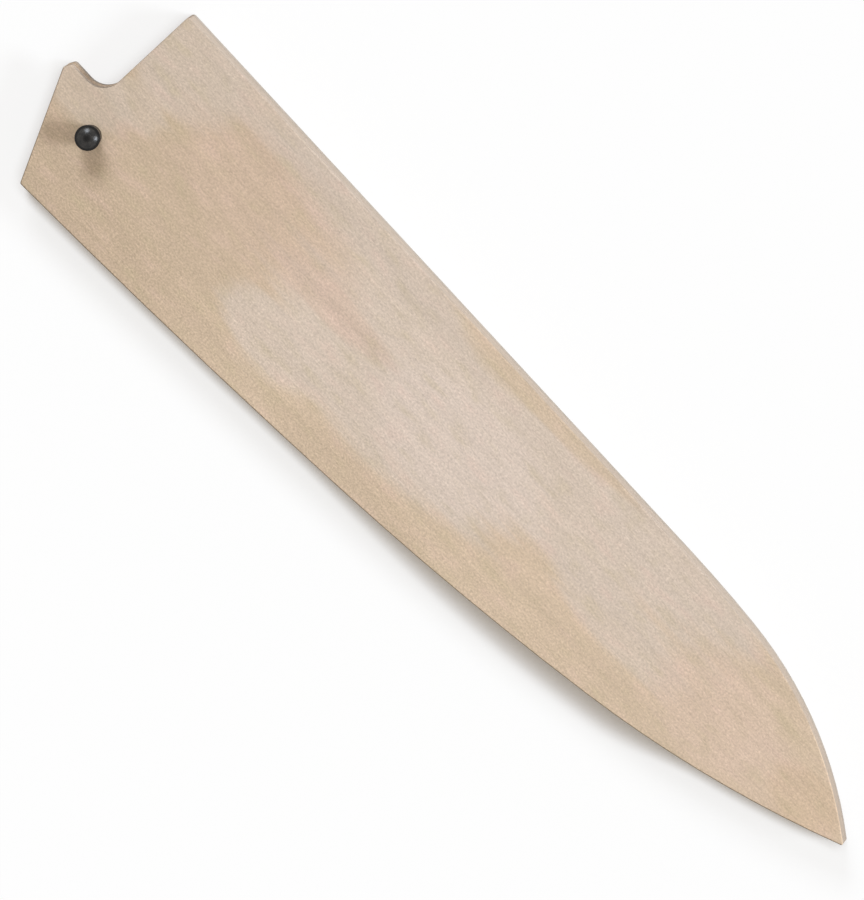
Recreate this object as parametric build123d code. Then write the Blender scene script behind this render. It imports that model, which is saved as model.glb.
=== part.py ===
from build123d import *
import os

# A wooden blade guard for a long kitchen knife, with a turned pin that locks the blade in.
# Two outer boards are glued to two thin strips, which leave a slot for the blade between them.
# The guard lies on its back board. X runs from the mouth to the tip, Y towards the spine, Z up.
# Every size is in millimetres. A reach runs along X from the mouth, a drop runs down from the
# spine line, and both are nought at the corner where the mouth meets the spine.

# Layers, from the back face up to the front face, and the wall round the blade.
board_thickness = 4.3
slot_thickness = 4.4
wall_width = 4.0

# The guard's outline: its width at the mouth and where its tip and its lower corner lie.
mouth_width = 58.3
tip_reach = 256.55
tip_drop = 20.35
edge_corner_reach = 1.78

# Spine side: a straight run, a long easy bend, then a tighter one down to the tip.
# Reaches are shares of the tip's reach, the drop is a share of the tip's drop.
spine_straight_share = 0.6964
spine_bend_reach_share = 0.7875
spine_bend_drop_share = 0.0374

# Edge side: three arcs that flow into each other, from the lower corner to the tip.
# Runs and rises are shares of the whole run and rise between those two points.
edge_start_slope_share = 0.2638
edge_first_run_share = 0.423
edge_first_rise_share = 0.1795
edge_second_run_share = 0.7262
edge_second_rise_share = 0.4485

# Mouth end: a notch under the mouth, and a tongue behind it with a clipped upper corner.
notch_drop = 29.08
tongue_reach = 11.9
tongue_clip_reach = 1.0
tongue_clip_drop = 1.9

# Corners, seen from the front.
notch_radius = 5.5
spine_corner_radius = 0.85
tongue_corner_radius = 0.9
edge_corner_radius = 0.6
tip_radius = 0.45
slot_tip_radius = 1.0

# Eased outer arrises of both boards.
arris_radius = 0.4

# How far the slot is drawn out past the tongue before the outline trims it.
slot_overrun = 8.0

# Lead-in round the slot's open end, cut on the boards' inner arrises between the strips.
lead_in_width = 0.5
lead_in_depth = 0.8
touching_distance = 0.01
halfway = 0.5

# Locking pin, just behind the blade's heel, and its hole through both boards.
# Its heights are taken from the front face, on which its shoulder stands.
pin_reach = 5.0
pin_below_notch = 8.55
pin_stem_radius = 2.5
pin_clearance = 0.05
pin_foot_gap = 0.4
pin_foot_chamfer = 0.5
pin_shoulder_radius = 2.75
pin_waist_radius = 2.5
pin_waist_height = 2.8
pin_head_radius = 3.26
pin_head_height = 8.9
pin_crown_height = 1.4
pin_rim_radius = 0.5
hole_chamfer = 0.3

slot_floor = board_thickness
slot_roof = board_thickness + slot_thickness
thickness = board_thickness + slot_thickness + board_thickness
edge_run = tip_reach - edge_corner_reach
edge_rise = mouth_width - tip_drop
edge_start_slope = edge_start_slope_share * edge_rise / edge_run
pin_place = Pos(pin_reach, -notch_drop - pin_below_notch, 0)


def spine_side(start_reach):
    """Edges along the spine, from start_reach to the tip."""
    straight = Line((start_reach, 0), (spine_straight_share * tip_reach, 0))
    bend_end = (spine_bend_reach_share * tip_reach, -spine_bend_drop_share * tip_drop)
    bend = TangentArc(straight @ 1, bend_end, tangent=straight % 1)
    drop = TangentArc(bend @ 1, (tip_reach, -tip_drop), tangent=bend % 1)
    return [straight, bend, drop]


def edge_point(run_share, rise_share):
    """A point of the edge side, by its shares of the run and rise from the lower corner."""
    return (edge_corner_reach + run_share * edge_run, -mouth_width + rise_share * edge_rise)


def edge_side():
    """Edges along the cutting side, from the lower corner to the tip."""
    first_end = edge_point(edge_first_run_share, edge_first_rise_share)
    second_end = edge_point(edge_second_run_share, edge_second_rise_share)
    first = TangentArc(edge_point(0, 0), first_end, tangent=(1, edge_start_slope))
    second = TangentArc(first @ 1, second_end, tangent=first % 1)
    third = TangentArc(second @ 1, (tip_reach, -tip_drop), tangent=second % 1)
    return [first, second, third]


def rounded(face, point, radius):
    """Round the corner of the face that is nearest to the point."""
    corner = face.vertices().sort_by_distance((*point, 0))[0]
    return fillet(corner, radius)


def guard_outline():
    """The guard's front view, with its corners rounded."""
    edge_corner = edge_point(0, 0)
    tongue_end = (-tongue_reach, -notch_drop - tongue_clip_drop)
    tongue_top = (tongue_clip_reach - tongue_reach, -notch_drop)
    notch_corner = (0, -notch_drop)
    spine_corner = (0, 0)
    mouth_end = Polyline(edge_corner, tongue_end, tongue_top, notch_corner, spine_corner)
    face = make_face([*spine_side(0), *edge_side(), *mouth_end.edges()])
    face = rounded(face, notch_corner, notch_radius)
    face = rounded(face, spine_corner, spine_corner_radius)
    face = rounded(face, tongue_top, tongue_corner_radius)
    face = rounded(face, tongue_end, tongue_corner_radius)
    face = rounded(face, edge_corner, edge_corner_radius)
    return rounded(face, (tip_reach, -tip_drop), tip_radius)


def slot_outline():
    """The blade slot's front view: the guard less its walls, drawn out past the mouth end."""
    start_reach = -tongue_reach - wall_width - slot_overrun
    start_drop = mouth_width + (edge_corner_reach - start_reach) * edge_start_slope
    end = Polyline(edge_point(0, 0), (start_reach, -start_drop), (start_reach, 0))
    land = make_face([*spine_side(start_reach), *edge_side(), *end.edges()])
    slot = offset(land, amount=-wall_width, kind=Kind.INTERSECTION)
    return rounded(slot, (tip_reach, -tip_drop), slot_tip_radius)


def lead_in(outline, slot, floor, outer_side):
    """The sliver that the lead-in takes off a board, along the mouth end from strip to strip."""
    block = Pos(0, 0, floor) * extrude(outline & slot, board_thickness)
    inner_face = block.faces().sort_by(Axis((0, 0, 0), outer_side))[0]
    slot_wall = Pos(0, 0, inner_face.center().Z) * slot.face().outer_wire()
    mouth_edges = [
        edge for edge in inner_face.edges()
        if slot_wall.distance_to(edge @ halfway) > touching_distance
    ]
    return block - chamfer(mouth_edges, lead_in_width, lead_in_depth, reference=inner_face)


def board(outline, slot, floor, outer_side):
    """An outer board standing on floor, drilled for the pin. Its outer face looks along outer_side."""
    solid = Pos(0, 0, floor) * extrude(outline, board_thickness)
    outer_face = solid.faces().sort_by(Axis((0, 0, 0), outer_side))[-1]
    solid = fillet(outer_face.outer_wire().edges(), arris_radius)
    hole = Cylinder(pin_stem_radius + pin_clearance, thickness, align=(Align.CENTER, Align.CENTER, Align.MIN))
    return solid - pin_place * hole - lead_in(outline, slot, floor, outer_side)


def locking_pin():
    """The turned pin: a stem in the hole, a shoulder on the front face, a waist and a domed head."""
    top = thickness + pin_head_height
    shoulder = (pin_shoulder_radius, thickness)
    waist = (pin_waist_radius, thickness + pin_waist_height)
    rim = (pin_head_radius, top - pin_crown_height)
    stem = Polyline(
        (0, top),
        (0, pin_foot_gap),
        (pin_stem_radius - pin_foot_chamfer, pin_foot_gap),
        (pin_stem_radius, pin_foot_gap + pin_foot_chamfer),
        (pin_stem_radius, thickness),
        shoulder,
    )
    flare = ThreePointArc(shoulder, waist, rim)
    crown = TangentArc((0, top), rim, tangent=(1, 0))
    half = make_face([*stem.edges(), flare, crown])
    half = rounded(half, rim, pin_rim_radius)
    return pin_place * revolve(Plane.XZ * half, Axis.Z)


outline = guard_outline()
slot = slot_outline()

front_board = board(outline, slot, slot_roof, (0, 0, 1))
back_board = board(outline, slot, 0, (0, 0, -1))
pin_centre = pin_place.position
hole_mouth = back_board.edges().filter_by(GeomType.CIRCLE).sort_by_distance(pin_centre)[0]
back_board = chamfer(hole_mouth, hole_chamfer)

# The two strips are one layer, cut apart along a line that runs back from the tip.
core = Pos(0, 0, slot_floor) * extrude(outline - slot, slot_thickness)
joint = Plane(origin=(tip_reach, -tip_drop, 0), x_dir=(1, 0, 0), z_dir=(0, 1, 0))
spine_strip = split(core, bisect_by=joint, keep=Keep.TOP)
edge_strip = split(core, bisect_by=joint, keep=Keep.BOTTOM)

pieces = {
    "front_board": front_board,
    "back_board": back_board,
    "spine_strip": spine_strip,
    "edge_strip": edge_strip,
    "locking_pin": locking_pin(),
}

# The guard stands over the middle of its own footprint, on its back face.
middle = outline.bounding_box().center()
to_middle = Pos(-middle.X, -middle.Y, 0)

os.makedirs("parts", exist_ok=True)
for name, solid in pieces.items():
    placed = to_middle * solid
    placed.label = name
    export_step(placed, f"parts/{name}.step")
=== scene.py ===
import math

import bpy
from mathutils import Matrix, Vector


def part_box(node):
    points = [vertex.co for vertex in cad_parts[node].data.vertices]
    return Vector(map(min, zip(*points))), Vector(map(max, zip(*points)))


# The looks of a wooden blade guard and its black locking pin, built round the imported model.
# The frame's units are metres. The materials work in millimetres of the same frame: X runs
# from the mouth to the tip, Y towards the spine and Z up out of the front face.
# A pair of limits for a smooth step gives where it starts and where it is full. A pair of
# strengths, shades or reaches gives the value where a mark or step is 0 and where it is 1.

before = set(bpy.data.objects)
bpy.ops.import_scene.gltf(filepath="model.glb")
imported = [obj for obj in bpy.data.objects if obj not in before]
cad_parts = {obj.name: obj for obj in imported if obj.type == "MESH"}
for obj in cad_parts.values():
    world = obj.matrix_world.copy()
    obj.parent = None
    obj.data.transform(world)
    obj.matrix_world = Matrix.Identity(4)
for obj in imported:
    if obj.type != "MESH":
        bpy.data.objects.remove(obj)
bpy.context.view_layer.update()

MM_PER_METRE = 1000.0

# Camera: far away behind a very long lens, tilted a little towards the spine.
CAMERA_TARGET = Vector((-0.00449, 0.00072, 0.013))
CAMERA_DIRECTION = Vector((0.0, 0.12, 1.0)).normalized()
CAMERA_RIGHT = Vector((0.6763, 0.7366, 0.0))
CAMERA_DISTANCE = 6.0
SENSOR_WIDTH = 36.0
VIEW_HEIGHT = 0.2192
CLIP_NEAR = 0.1
CLIP_FAR = 100.0

# Light: two soft lamps, a little cool, and a fill, a little warm, which together light the
# face to a plain white of 1. Each lamp has its direction on the floor, its height and width
# in degrees, and its share of that light.
LAMPS = {
    "lamp_tip_side": ((0.77, 0.64), 37.5, 18.0, 0.30),
    "lamp_mouth_side": ((-0.82, 0.58), 44.0, 22.0, 0.345),
}
LAMP_TINT = (0.935, 1.0, 1.085)
LAMP_DISTANCE = 3.0
FILL_LEVEL = 0.355
FILL_TINT = (1.12, 1.0, 0.845, 1.0)
WHITE = (1.0, 1.0, 1.0, 1.0)
BACKDROP_LEVEL = 0.99

# Floor: pale, with part of its brightness fixed for the camera, so that shadows stay soft.
FLOOR_HALF_SIZE = 4.0
FLOOR_GAP = 0.00002
FLOOR_ALBEDO = 0.88
FLOOR_SHADOW_SHARE = 0.2

# Close under the side away from the lamps a painted shadow makes the shadow deeper: where an
# occlusion test finds the guard, the floor glows less and more of it is lit. The floor looks for the
# guard along the lean, as far as the reach in metres. The reach is longest between the guard's middle
# and its tip: it swells and eases off again between these places along X.
CONTACT_SHARE = 0.95
CONTACT_LEAN = (0.0, 0.8, 0.6)
CONTACT_REACH = (0.0045, 0.0092)
CONTACT_SWELL = (-42.0, 62.0)
CONTACT_EASE = (100.0, 70.0)
CONTACT_CLOSING = (0.98, 0.3)

# The sRGB curve.
SRGB_FULL = 255.0
SRGB_KNEE = 0.04045
SRGB_SLOPE = 12.92
SRGB_OFFSET = 0.055
SRGB_POWER = 2.4

# The places of a mix node's colour sockets.
MIX_FIRST = 6
MIX_SECOND = 7
MIX_RESULT = 2


def linear(channel):
    """One sRGB channel from 0 to 255 as a linear value."""
    value = channel / SRGB_FULL
    if value <= SRGB_KNEE:
        return value / SRGB_SLOPE
    return ((value + SRGB_OFFSET) / (1.0 + SRGB_OFFSET)) ** SRGB_POWER


def tone(red, green, blue):
    """An sRGB colour from 0 to 255 as the linear colour that Blender takes."""
    return (linear(red), linear(green), linear(blue), 1.0)


class Graph:
    """The nodes of a material or of the world. Most calls return the socket with their result."""

    def __init__(self, tree):
        self.tree = tree

    def node(self, kind, inputs, **settings):
        """A new node with its settings, and its inputs set or linked."""
        made = self.tree.nodes.new(kind)
        for name, value in settings.items():
            setattr(made, name, value)
        for name, value in inputs.items():
            self.feed(made.inputs[name], value)
        return made

    def feed(self, socket, value):
        """Link the socket to another one, or set its own value."""
        if isinstance(value, bpy.types.NodeSocket):
            self.tree.links.new(value, socket)
        else:
            socket.default_value = value

    def maths(self, operation, first, second=0.0):
        return self.node("ShaderNodeMath", {0: first, 1: second}, operation=operation).outputs[0]

    def times(self, *factors):
        """The product of values and sockets."""
        product = factors[0]
        for factor in factors[1:]:
            product = self.maths("MULTIPLY", product, factor)
        return product

    def plus(self, *terms):
        """The sum of values and sockets."""
        total = terms[0]
        for term in terms[1:]:
            total = self.maths("ADD", total, term)
        return total

    def vector(self, operation, first, second):
        made = self.node("ShaderNodeVectorMath", {0: first, 1: second}, operation=operation)
        return made.outputs["Vector"]

    def scaled(self, vector, factor):
        made = self.node("ShaderNodeVectorMath", {0: vector, "Scale": factor}, operation="SCALE")
        return made.outputs["Vector"]

    def length(self, vector):
        return self.node("ShaderNodeVectorMath", {0: vector}, operation="LENGTH").outputs["Value"]

    def parts(self, vector):
        """The three sockets with the vector's X, Y and Z."""
        made = self.node("ShaderNodeSeparateXYZ", {0: vector})
        return made.outputs["X"], made.outputs["Y"], made.outputs["Z"]

    def joined(self, x, y, z):
        return self.node("ShaderNodeCombineXYZ", {0: x, 1: y, 2: z}).outputs[0]

    def step(self, value, start, end):
        """A smooth step from 0 at start to 1 at end. End may be below start."""
        rising = start < end
        inputs = {
            "Value": value,
            "From Min": min(start, end),
            "From Max": max(start, end),
            "To Min": 0.0 if rising else 1.0,
            "To Max": 1.0 if rising else 0.0,
        }
        made = self.node("ShaderNodeMapRange", inputs, interpolation_type="SMOOTHSTEP")
        return made.outputs["Result"]

    def spread(self, value, low, high):
        """A value from 0 to 1 as one from low to high."""
        limits = {"From Min": 0.0, "From Max": 1.0, "To Min": low, "To Max": high}
        return self.node("ShaderNodeMapRange", {"Value": value, **limits}).outputs["Result"]

    def mix(self, factor, first, second):
        """The first colour where the factor is 0, and the second where it is 1."""
        inputs = {0: factor, MIX_FIRST: first, MIX_SECOND: second}
        return self.node("ShaderNodeMix", inputs, data_type="RGBA").outputs[MIX_RESULT]

    def noise(self, coordinates, detail=2.0, roughness=0.5, distortion=0.0):
        """Noise from 0 to 1 about the middle, with marks about one unit across."""
        inputs = {
            "Vector": coordinates,
            "Scale": 1.0,
            "Detail": detail,
            "Roughness": roughness,
            "Distortion": distortion,
        }
        return self.node("ShaderNodeTexNoise", inputs).outputs["Fac"]

    def grain(self, coordinates, shift, size, **settings):
        """Noise whose marks have that size in millimetres along X, Y and Z."""
        moved = self.vector("ADD", coordinates, shift)
        return self.noise(self.vector("DIVIDE", moved, size), **settings)


def new_material(name):
    """A material, its graph and its principled shader."""
    material = bpy.data.materials.new(name)
    material.use_nodes = True
    return material, Graph(material.node_tree), material.node_tree.nodes["Principled BSDF"]


def set_surface(graph, shader, colour, roughness, specular, bump):
    """Feed the shader. Bump holds the inputs of the bump node."""
    graph.feed(shader.inputs["Base Color"], colour)
    graph.feed(shader.inputs["Roughness"], roughness)
    graph.feed(shader.inputs["Specular IOR Level"], specular)
    graph.feed(shader.inputs["Normal"], graph.node("ShaderNodeBump", bump).outputs["Normal"])


# Tones of the wood, as the photograph shows them.
TAN_MOUTH = tone(194, 172, 147)
TAN_LIGHT = tone(200, 178, 153)
TAN_TIP = tone(208, 186, 161)
PALE = tone(211, 194, 178)
PALE_TOP = tone(207, 190, 174)
PALE_MOUTH = tone(204, 187, 170)
BLUSH = tone(217, 192, 173)
WARM = tone(207, 180, 152)
ROSY = tone(208, 182, 162)
COOL = tone(219, 202, 189)
GLUE = tone(108, 84, 60)
# The end grain's own darker tone, which round the mouth also serves as painted shade.
END_GRAIN_AND_SHADE = tone(127, 101, 75)
WALL_UPPER = tone(202, 184, 167)
# Painted shade: the tone of the walls low down, near the floor.
WALL_LOWER_PAINTED_SHADE = tone(186, 175, 162)
# Painted shade for the bottom of the notch.
NOTCH_PAINTED_SHADE = tone(98, 84, 68)
PINKISH = tone(214, 184, 170)
OLIVE = tone(201, 186, 150)

# The tan turns lighter from the mouth towards the tip, between these places along X.
TAN_TURN = (-95.0, -35.0)

# A patch fades in between these shares of its half size, less or more where clouds and
# streaks make its outline ragged.
PATCH_FADE = (1.2, 0.72)
RAGGED_CLOUDS = (-0.4, 0.4)
RAGGED_STREAKS = (-0.3, 0.3)

# Soft patches of tone on the front face: centre, half size in millimetres, tone and strength.
FRONT_PATCHES = [
    ((-85.0, 4.0), (34.0, 22.0), TAN_LIGHT, 0.75),
    ((-20.0, 2.0), (43.0, 14.5), PALE, 0.95),
    ((-50.0, -9.0), (17.0, 9.5), PALE, 0.85),
    ((5.0, 16.0), (70.0, 14.0), PALE, 0.95),
    ((57.0, 5.0), (21.0, 7.0), PALE, 0.8),
    ((-48.0, 27.0), (40.0, 8.0), PALE_TOP, 0.9),
    ((52.0, 26.0), (32.0, 7.0), PALE, 0.9),
    ((-92.0, 28.0), (22.0, 6.5), PALE_TOP, 0.7),
    ((-6.0, 27.5), (17.0, 4.0), TAN_TIP, 0.5),
    ((6.0, 28.6), (33.0, 3.4), TAN_TIP, 0.85),
    ((-112.0, 21.0), (17.0, 14.0), PALE_MOUTH, 0.9),
    ((-126.0, -1.0), (13.0, 9.0), PALE_MOUTH, 0.6),
    ((-115.0, 6.0), (9.0, 6.5), PALE_MOUTH, 0.6),
    ((0.0, 7.0), (26.0, 14.0), COOL, 0.6),
    ((-48.0, 7.0), (20.0, 4.5), ROSY, 0.5),
    ((-74.0, 11.0), (33.0, 12.0), ROSY, 0.42),
    ((90.0, 8.0), (18.0, 12.0), BLUSH, 0.55),
    ((108.0, 8.0), (10.0, 8.0), BLUSH, 0.35),
    ((120.0, 9.0), (11.0, 7.0), WARM, 0.45),
    ((-12.0, -19.0), (30.0, 5.0), TAN_MOUTH, 0.4),
]

# The same on the back face.
BACK_PATCHES = [
    ((-40.0, 9.0), (70.0, 17.0), PALE, 0.9),
    ((46.0, -4.0), (40.0, 12.0), PALE, 0.7),
    ((-84.0, -12.0), (26.0, 8.0), BLUSH, 0.5),
    ((22.0, 16.0), (30.0, 7.0), BLUSH, 0.45),
    ((98.0, 8.0), (18.0, 8.0), WARM, 0.6),
]

# The same on the walls: a painted shade darkens the bottom of the notch.
NOTCH_SHADE_PATCHES = [((-126.0, 0.5), (5.2, 5.0), NOTCH_PAINTED_SHADE, 0.5)]

# The grain's marks: each is a noise with its size in millimetres along X, Y and Z.
MARKS = {
    "clouds": {"size": (60.0, 11.0, 11.0), "detail": 3.0, "roughness": 0.55},
    "streaks": {"size": (85.0, 2.6, 2.6), "detail": 3.0, "roughness": 0.6, "distortion": 0.2},
    "mottle": {"size": (9.0, 3.4, 3.4), "detail": 2.0},
    "lines": {"size": (7.0, 0.75, 0.75), "detail": 2.0, "roughness": 0.6},
    "flecks": {"size": (0.55, 0.42, 0.42), "detail": 1.5, "roughness": 0.6},
    "specks": {"size": (1.0, 0.5, 0.5), "detail": 1.0},
    "scratches": {"size": (24.0, 0.16, 0.16), "detail": 1.0},
    "pores": {"size": (2.4, 0.13, 0.13), "detail": 0.0},
    "wear": {"size": (14.0, 4.0, 2.0), "detail": 2.0},
    "ring_bend": {"size": (110.0, 26.0, 26.0), "detail": 2.0},
}

# How far a mark scales the wood's brightness down and up.
MARK_STRENGTH = {
    "clouds": 0.05,
    "streaks": 0.07,
    "mottle": 0.075,
    "lines": 0.095,
    "flecks": 0.27,
    "specks": 0.185,
}

# Towards the edge side the flecks stand out more.
COARSE_TURN = (0.0, -24.0)
COARSE_STRENGTH = 0.13

# The mottle also changes the hue: which part of it turns the wood to which tone.
HUES = [((0.5, 0.8), PINKISH), ((0.5, 0.2), OLIVE)]
HUE_STRENGTH = 0.3

# Pores are the highest parts of their noise. They only darken the wood.
PORE_LIMITS = (0.66, 0.78)
PORE_STRENGTH = 0.10

# Growth rings: their spacing across the board, how far they wander, and where each darkens.
RING_SPACING = 7.5
RING_WANDER = 3.4
RING_DARK = (0.55, 0.97)
RING_STRENGTH = 0.022

# A face turns into a wall between these shares of its normal that point up or down. The walls are a
# little darker than the faces, a painted shade, and more even, and greyer and darker low down,
# between these heights, a painted shade near the floor.
WALL_TURN = (0.6, 0.15)
WALL_SHADE = 0.96
WALL_EVEN = 0.8
WALL_PAINTED_SHADE_HEIGHTS = (7.0, 2.2)

# End grain is darker still, most round the mouth and low down there: at the tip this is the end
# grain's own tone, and round the mouth and low down it is also painted shade, in the mouth's recess
# and near the floor. A wall turns into end grain between these shares of its normal that point along
# X.
TIP_END_TURN = (0.2, 1.0)
TIP_END_STRENGTH = 0.3
MOUTH_END_TURN = (-0.1, -0.9)
MOUTH_END_GRAIN_AND_SHADE_STRENGTH = (0.75, 0.9)

# The eased arrises lie between the walls and the faces. They are darkened a little with painted
# shade, less where they are rubbed paler in places. On the front at the tip, between these places
# along X, they carry a painted highlight. Those on the edge side, away from the lamps, carry a darker
# painted shade.
ARRIS_FROM_WALL = (0.05, 0.35)
ARRIS_FROM_FACE = (0.99, 0.85)
ARRIS_WEAR = (0.42, 0.68)
ARRIS_SHADE = (0.86, 0.98)
ARRIS_TIP_HIGHLIGHT = 1.17
ARRIS_TIP_HIGHLIGHT_TURN = (100.0, 116.0)
ARRIS_FRONT_TURN = (0.0, 0.2)
ARRIS_SHADED_SIDE = 0.55
ARRIS_SHADED_SIDE_TURN = (-0.1, -0.4)

# A glue line fades in between these distances from where two layers meet.
GLUE_FADE = (0.10, 0.03)
GLUE_STRENGTH = 0.42

# The finish of the wood. Scratches and lines stand up as shares of the flecks, and pores are
# sunk.
WOOD_ROUGHNESS = (0.58, 0.74)
WOOD_SPECULAR = 0.35
WOOD_BUMP = 0.35
WOOD_BUMP_DEPTH = 0.00006
SCRATCH_RELIEF = 0.6
LINE_RELIEF = 0.4
PORE_RELIEF = 0.5

# How far each piece's marks are shifted, in millimetres, so that no two pieces of wood look
# the same.
FRONT_SHIFT = (0.0, 0.0, 0.0)
BACK_SHIFT = (310.0, 47.0, 23.0)
SPINE_SHIFT = (120.0, 91.0, 61.0)
EDGE_SHIFT = (530.0, 13.0, 87.0)
PIN_SHIFT = (0.0, 0.0, 0.0)


def patched(graph, colour, coordinates, patches, ragged):
    """The colour with each soft patch of tone laid over it. Ragged breaks up their outlines."""
    for (x, y), (half_length, half_width), patch_tone, strength in patches:
        near = graph.vector("SUBTRACT", coordinates, (x, y, 0.0))
        near = graph.vector("MULTIPLY", near, (1.0 / half_length, 1.0 / half_width, 0.0))
        reach = graph.plus(graph.length(near), ragged)
        cover = graph.times(graph.step(reach, *PATCH_FADE), strength)
        colour = graph.mix(cover, colour, patch_tone)
    return colour


def growth_rings(graph, place, bend):
    """Faint rings that run along the board, from 0 in early wood to 1 in late wood."""
    across, height = graph.parts(place)[1:]
    turns = graph.times(graph.plus(across, height), 1.0 / RING_SPACING)
    turns = graph.plus(turns, graph.times(bend, RING_WANDER))
    return graph.step(graph.maths("FRACT", turns), *RING_DARK)


def grain_marks(graph, place, shift):
    """The sockets of the grain's marks by name."""
    marks = {name: graph.grain(place, shift, **noise) for name, noise in MARKS.items()}
    marks["pores"] = graph.step(marks["pores"], *PORE_LIMITS)
    marks["rings"] = growth_rings(graph, place, marks["ring_bend"])
    return marks


def wood_tone(graph, place, normal_x, wall, marks, patches):
    """The wood's tone: the patches, then a slight change of hue, the walls with painted shade low
    down, the end grain with painted shade round the mouth, and painted shade in the notch.
    """
    along, _, height = graph.parts(place)
    colour = graph.mix(graph.step(along, *TAN_TURN), TAN_MOUTH, TAN_TIP)
    ragged = graph.plus(
        graph.spread(marks["clouds"], *RAGGED_CLOUDS),
        graph.spread(marks["streaks"], *RAGGED_STREAKS),
    )
    colour = patched(graph, colour, place, patches, ragged)
    for limits, hue in HUES:
        change = graph.times(graph.step(marks["mottle"], *limits), HUE_STRENGTH)
        colour = graph.mix(change, colour, hue)
    # Painted shade: the walls turn greyer and darker towards the floor.
    low = graph.step(height, *WALL_PAINTED_SHADE_HEIGHTS)
    wall_tone = graph.mix(low, WALL_UPPER, WALL_LOWER_PAINTED_SHADE)
    colour = graph.mix(graph.times(wall, WALL_EVEN), colour, wall_tone)
    tip_end = graph.times(graph.step(normal_x, *TIP_END_TURN), TIP_END_STRENGTH)
    # Round the mouth the end grain also carries painted shade, deeper low down.
    mouth_end = graph.step(normal_x, *MOUTH_END_TURN)
    mouth_end = graph.times(mouth_end, graph.spread(low, *MOUTH_END_GRAIN_AND_SHADE_STRENGTH))
    colour = graph.mix(graph.times(graph.plus(tip_end, mouth_end), wall), colour, END_GRAIN_AND_SHADE)
    # Painted shade at the bottom of the notch, on the walls only.
    return graph.mix(wall, colour, patched(graph, colour, place, NOTCH_SHADE_PATCHES, ragged))


def wood_brightness(graph, place, wall, marks):
    """The wood's brightness, which every mark scales down or up."""
    brightness = 1.0
    for name, strength in MARK_STRENGTH.items():
        scale = graph.spread(marks[name], 1.0 - strength, 1.0 + strength)
        brightness = graph.times(brightness, scale)
    coarse = graph.times(graph.step(graph.parts(place)[1], *COARSE_TURN), COARSE_STRENGTH)
    darkest = graph.maths("SUBTRACT", 1.0, coarse)
    return graph.times(
        brightness,
        graph.spread(marks["flecks"], darkest, graph.plus(coarse, 1.0)),
        graph.spread(marks["pores"], 1.0, 1.0 - PORE_STRENGTH),
        graph.spread(marks["rings"], 1.0, 1.0 - RING_STRENGTH),
        # Painted shade: the walls are a little darker than the faces.
        graph.spread(wall, 1.0, WALL_SHADE),
    )


def arris_brightness(graph, place, normal_y, normal_z, wear):
    """The brightness of the sanded arrises, with their painted shade and painted highlight, and 1
    everywhere else.
    """
    facing = graph.maths("ABSOLUTE", normal_z)
    arris = graph.times(
        graph.step(facing, *ARRIS_FROM_WALL), graph.step(facing, *ARRIS_FROM_FACE)
    )
    # Painted highlight along the front arris at the tip.
    tip_highlight = graph.times(
        graph.step(graph.parts(place)[0], *ARRIS_TIP_HIGHLIGHT_TURN),
        graph.step(normal_z, *ARRIS_FRONT_TURN),
    )
    shade = graph.spread(graph.step(wear, *ARRIS_WEAR), *ARRIS_SHADE)
    shade = graph.spread(tip_highlight, shade, ARRIS_TIP_HIGHLIGHT)
    # Painted shade on the arrises of the edge side.
    shade = graph.spread(graph.step(normal_y, *ARRIS_SHADED_SIDE_TURN), shade, ARRIS_SHADED_SIDE)
    return graph.spread(arris, 1.0, shade)


def glued(graph, colour, height, wall, glue_heights):
    """The colour with thin glue lines where the layers meet, on the walls only."""
    for glue_height in glue_heights:
        away = graph.maths("ABSOLUTE", graph.maths("SUBTRACT", height, glue_height))
        line = graph.times(graph.step(away, *GLUE_FADE), wall, GLUE_STRENGTH)
        colour = graph.mix(line, colour, GLUE)
    return colour


def wood(name, shift, patches, glue_heights):
    """Unfinished pale wood with its grain along X, cut into by its walls and glue lines."""
    material, graph, shader = new_material(name)
    source = graph.node("ShaderNodeTexCoord", {})
    place = graph.scaled(source.outputs["Object"], MM_PER_METRE)
    height = graph.parts(place)[2]
    normal_x, normal_y, normal_z = graph.parts(source.outputs["Normal"])
    wall = graph.step(graph.maths("ABSOLUTE", normal_z), *WALL_TURN)
    marks = grain_marks(graph, place, shift)
    brightness = graph.times(
        wood_brightness(graph, place, wall, marks),
        arris_brightness(graph, place, normal_y, normal_z, marks["wear"]),
    )
    colour = wood_tone(graph, place, normal_x, wall, marks, patches)
    colour = graph.scaled(colour, brightness)
    colour = glued(graph, colour, height, wall, glue_heights)
    relief = graph.plus(
        marks["flecks"],
        graph.times(marks["scratches"], SCRATCH_RELIEF),
        graph.times(marks["lines"], LINE_RELIEF),
    )
    relief = graph.maths("SUBTRACT", relief, graph.times(marks["pores"], PORE_RELIEF))
    bump = {"Height": relief, "Strength": WOOD_BUMP, "Distance": WOOD_BUMP_DEPTH}
    roughness = graph.spread(marks["flecks"], *WOOD_ROUGHNESS)
    set_surface(graph, shader, colour, roughness, WOOD_SPECULAR, bump)
    return material


# The pin: black, polished, with rings from turning, a little cloudiness and a little dust. Between
# the dish in the middle of its head and its rim, at these radii, it is glossier, and a lighter cloudy
# grey is painted there: partly random cloudiness, partly a painted reflection in the domed head.
PIN_TONE = tone(14, 13, 12)
PIN_CLOUD_AND_REFLECTION_TONE = tone(50, 47, 44)
PIN_DUST_TONE = tone(96, 92, 86)
PIN_DISH = (0.45, 1.5)
PIN_RIM = (2.75, 2.3)
PIN_ROUGHNESS = (0.2, 0.32)
PIN_SPECULAR = (0.18, 0.35)
PIN_CLOUDS = {"size": (1.5, 1.5, 1.5), "detail": 3.0, "roughness": 0.6}
PIN_GRIT = {"size": (0.3, 0.3, 0.3), "detail": 1.0}
PIN_RING_SIZE = 0.42
PIN_RING_DETAIL = 1.0
PIN_CLOUD_SHARE = 0.6
PIN_RING_SHARE = 0.4
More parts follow.
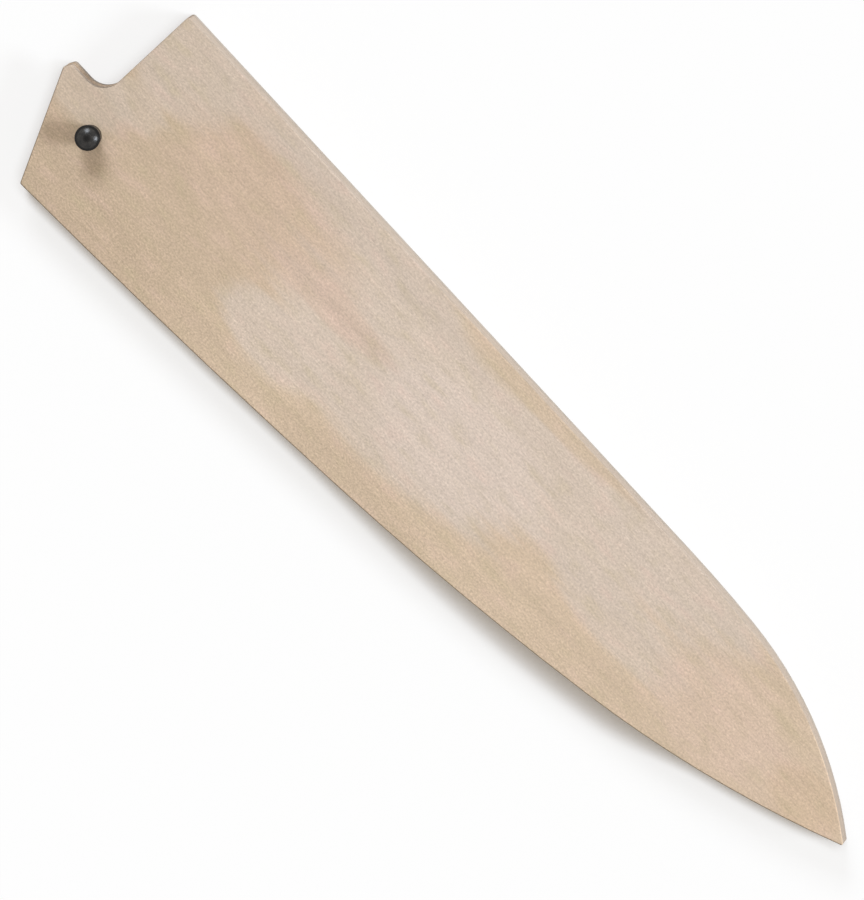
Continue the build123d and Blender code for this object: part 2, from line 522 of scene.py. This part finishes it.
PIN_CLOUDY_REFLECTION = (0.36, 0.6)
PIN_CLOUDY_REFLECTION_STRENGTH = (0.25, 1.0)
PIN_DUST = (0.62, 0.8)
PIN_DUST_STRENGTH = 0.3
PIN_GRIT_RELIEF = 0.3
PIN_BUMP = 0.2
PIN_BUMP_DEPTH = 0.00003


def pin_black(name, shift, axis):
    """Black turned plastic with a painted reflection in a ring on its head. Its rings run round the
    axis, given by its place in millimetres.
    """
    material, graph, shader = new_material(name)
    source = graph.node("ShaderNodeTexCoord", {})
    place = graph.scaled(source.outputs["Object"], MM_PER_METRE)
    outward = graph.vector("SUBTRACT", place, (axis[0], axis[1], 0.0))
    outward = graph.vector("MULTIPLY", outward, (1.0, 1.0, 0.0))
    radius = graph.length(outward)
    # Painted reflection: a lighter cloudy grey in a ring between the dish and the rim, where the pin
    # is also glossier.
    reflection_ring = graph.times(graph.step(radius, *PIN_DISH), graph.step(radius, *PIN_RIM))
    clouds = graph.grain(place, shift, **PIN_CLOUDS)
    grit = graph.grain(place, shift, **PIN_GRIT)
    turned = graph.scaled(graph.joined(radius, 0.0, graph.parts(place)[2]), 1.0 / PIN_RING_SIZE)
    rings = graph.noise(turned, detail=PIN_RING_DETAIL)
    cloudy_reflection = graph.plus(graph.times(clouds, PIN_CLOUD_SHARE), graph.times(rings, PIN_RING_SHARE))
    cloudy_reflection = graph.step(cloudy_reflection, *PIN_CLOUDY_REFLECTION)
    cloudy_reflection = graph.times(cloudy_reflection, graph.spread(reflection_ring, *PIN_CLOUDY_REFLECTION_STRENGTH))
    colour = graph.mix(cloudy_reflection, PIN_TONE, PIN_CLOUD_AND_REFLECTION_TONE)
    dusty = graph.times(graph.step(grit, *PIN_DUST), PIN_DUST_STRENGTH)
    colour = graph.mix(dusty, colour, PIN_DUST_TONE)
    relief = graph.plus(graph.times(grit, PIN_GRIT_RELIEF), rings)
    bump = {"Height": relief, "Strength": PIN_BUMP, "Distance": PIN_BUMP_DEPTH}
    roughness = graph.spread(clouds, *PIN_ROUGHNESS)
    set_surface(graph, shader, colour, roughness, graph.spread(reflection_ring, *PIN_SPECULAR), bump)
    return material


def seen_ray(graph):
    """1 for the rays that show the backdrop: the camera's, and those of gloss and of glass."""
    path = graph.node("ShaderNodeLightPath", {})
    seen = graph.maths("MAXIMUM", path.outputs["Is Camera Ray"], path.outputs["Is Glossy Ray"])
    return graph.maths("MAXIMUM", seen, path.outputs["Is Transmission Ray"])


def contact(graph):
    """How close the floor lies under the guard's shaded side, from 0 to 1: the mask of the painted
    contact shadow.
    """
    place = graph.node("ShaderNodeTexCoord", {}).outputs["Object"]
    along = graph.times(graph.parts(place)[0], MM_PER_METRE)
    swell = graph.times(graph.step(along, *CONTACT_SWELL), graph.step(along, *CONTACT_EASE))
    near = {"Distance": graph.spread(swell, *CONTACT_REACH), "Normal": graph.joined(*CONTACT_LEAN)}
    open_share = graph.node("ShaderNodeAmbientOcclusion", near).outputs["AO"]
    return graph.step(open_share, *CONTACT_CLOSING)


def floor_pale():
    """The floor's material. Where it is seen, a share of its brightness is lit, the rest glows."""
    material, graph, shader = new_material("floor_pale")
    seen = seen_ray(graph)
    share = graph.spread(contact(graph), FLOOR_SHADOW_SHARE, CONTACT_SHARE)
    matt = graph.spread(seen, FLOOR_ALBEDO, share)
    glow = graph.times(seen, graph.maths("SUBTRACT", BACKDROP_LEVEL, share))
    grey = graph.joined(matt, matt, matt)
    diffuse = graph.node("ShaderNodeBsdfDiffuse", {"Color": grey}).outputs[0]
    emission = graph.node("ShaderNodeEmission", {"Strength": glow}).outputs[0]
    both = graph.node("ShaderNodeAddShader", {0: diffuse, 1: emission}).outputs[0]
    graph.feed(material.node_tree.nodes["Material Output"].inputs["Surface"], both)
    material.node_tree.nodes.remove(shader)
    return material


def make_floor():
    """A wide pale floor that keeps the object's shadow."""
    side = FLOOR_HALF_SIZE
    corners = [(-side, -side), (side, -side), (side, side), (-side, side)]
    mesh = bpy.data.meshes.new("floor")
    mesh.from_pydata([(x, y, -FLOOR_GAP) for x, y in corners], [], [(0, 1, 2, 3)])
    floor = bpy.data.objects.new("floor", mesh)
    bpy.context.scene.collection.objects.link(floor)
    mesh.materials.append(floor_pale())


def make_lamps():
    """The two lamps, far away and as wide as softboxes."""
    for name, (direction, height, width, share) in LAMPS.items():
        rise = math.radians(height)
        lamp = bpy.data.lights.new(name, "SUN")
        lamp.angle = math.radians(width)
        lamp.color = LAMP_TINT
        lamp.energy = share * math.pi / math.sin(rise)
        towards = Vector((*direction, 0.0)).normalized() * math.cos(rise)
        towards.z = math.sin(rise)
        held = bpy.data.objects.new(name, lamp)
        held.location = towards * LAMP_DISTANCE
        held.rotation_euler = towards.to_track_quat("Z", "Y").to_euler()
        bpy.context.scene.collection.objects.link(held)


def make_world():
    """A warm fill, and a white backdrop where it is seen."""
    world = bpy.data.worlds.new("studio")
    world.use_nodes = True
    bpy.context.scene.world = world
    graph = Graph(world.node_tree)
    background = world.node_tree.nodes["Background"]
    seen = seen_ray(graph)
    graph.feed(background.inputs["Color"], graph.mix(seen, FILL_TINT, WHITE))
    graph.feed(background.inputs["Strength"], graph.spread(seen, FILL_LEVEL, BACKDROP_LEVEL))


def make_camera():
    """The photograph's camera."""
    data = bpy.data.cameras.new("camera")
    data.sensor_width = SENSOR_WIDTH
    data.lens = SENSOR_WIDTH * CAMERA_DISTANCE / VIEW_HEIGHT
    data.clip_start = CLIP_NEAR
    data.clip_end = CLIP_FAR
    camera = bpy.data.objects.new("camera", data)
    bpy.context.scene.collection.objects.link(camera)
    up = CAMERA_DIRECTION.cross(CAMERA_RIGHT).normalized()
    right = up.cross(CAMERA_DIRECTION)
    turn = Matrix((right, up, CAMERA_DIRECTION)).transposed().to_4x4()
    place = CAMERA_TARGET + CAMERA_DIRECTION * CAMERA_DISTANCE
    camera.matrix_world = Matrix.Translation(place) @ turn
    bpy.context.scene.camera = camera


def dress(node, material):
    """Give a CAD node its material."""
    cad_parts[node].material_slots[0].material = material


pin_low, pin_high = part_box("locking_pin")
pin_axis = (pin_low + pin_high) / 2 * MM_PER_METRE
glue_lines = [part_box("back_board")[1].z * MM_PER_METRE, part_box("front_board")[0].z * MM_PER_METRE]
dress("front_board", wood("board_wood_front", FRONT_SHIFT, FRONT_PATCHES, glue_lines))
dress("back_board", wood("board_wood_back", BACK_SHIFT, BACK_PATCHES, glue_lines))
dress("spine_strip", wood("strip_wood_spine", SPINE_SHIFT, [], glue_lines))
dress("edge_strip", wood("strip_wood_edge", EDGE_SHIFT, [], glue_lines))
dress("locking_pin", pin_black("pin_black_turned", PIN_SHIFT, pin_axis))

make_floor()
make_lamps()
make_world()
make_camera()

bpy.context.scene.view_settings.view_transform = "Standard"
